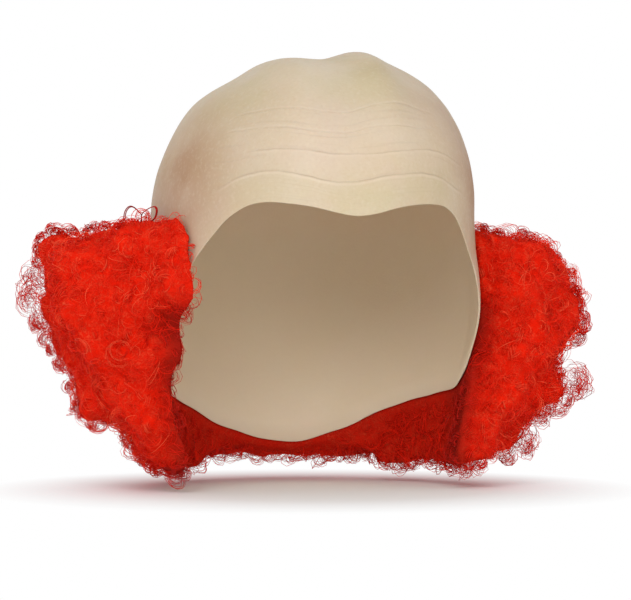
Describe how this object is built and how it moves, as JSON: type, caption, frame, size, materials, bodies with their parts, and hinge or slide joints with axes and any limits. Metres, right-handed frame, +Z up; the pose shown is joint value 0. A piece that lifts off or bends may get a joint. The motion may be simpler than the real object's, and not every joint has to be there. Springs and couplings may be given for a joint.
{
  "type": "clown wig",
  "caption": "Bald clown wig: a moulded latex cap with a wrinkled forehead and dented crown, edged at the sides and back with bunches of tight red curls.",
  "frame": {"origin": "inside of the cap's crown, where the wearer's head bears", "axes": "+X towards the viewer's right of the worn wig seen from the front, +Y towards the nape, the brow faces -Y, +Z up"},
  "size_m": [0.2916, 0.2408, 0.2102],
  "materials": {
    "latex": "matte to satin, mottled cream and tan",
    "hair": "matte curled fibre"
  },
  "bodies": {
    "root": {"cap": "latex", "hair_left": "hair", "hair_right": "hair", "hair_back": "hair"}
  },
  "joints": []
}
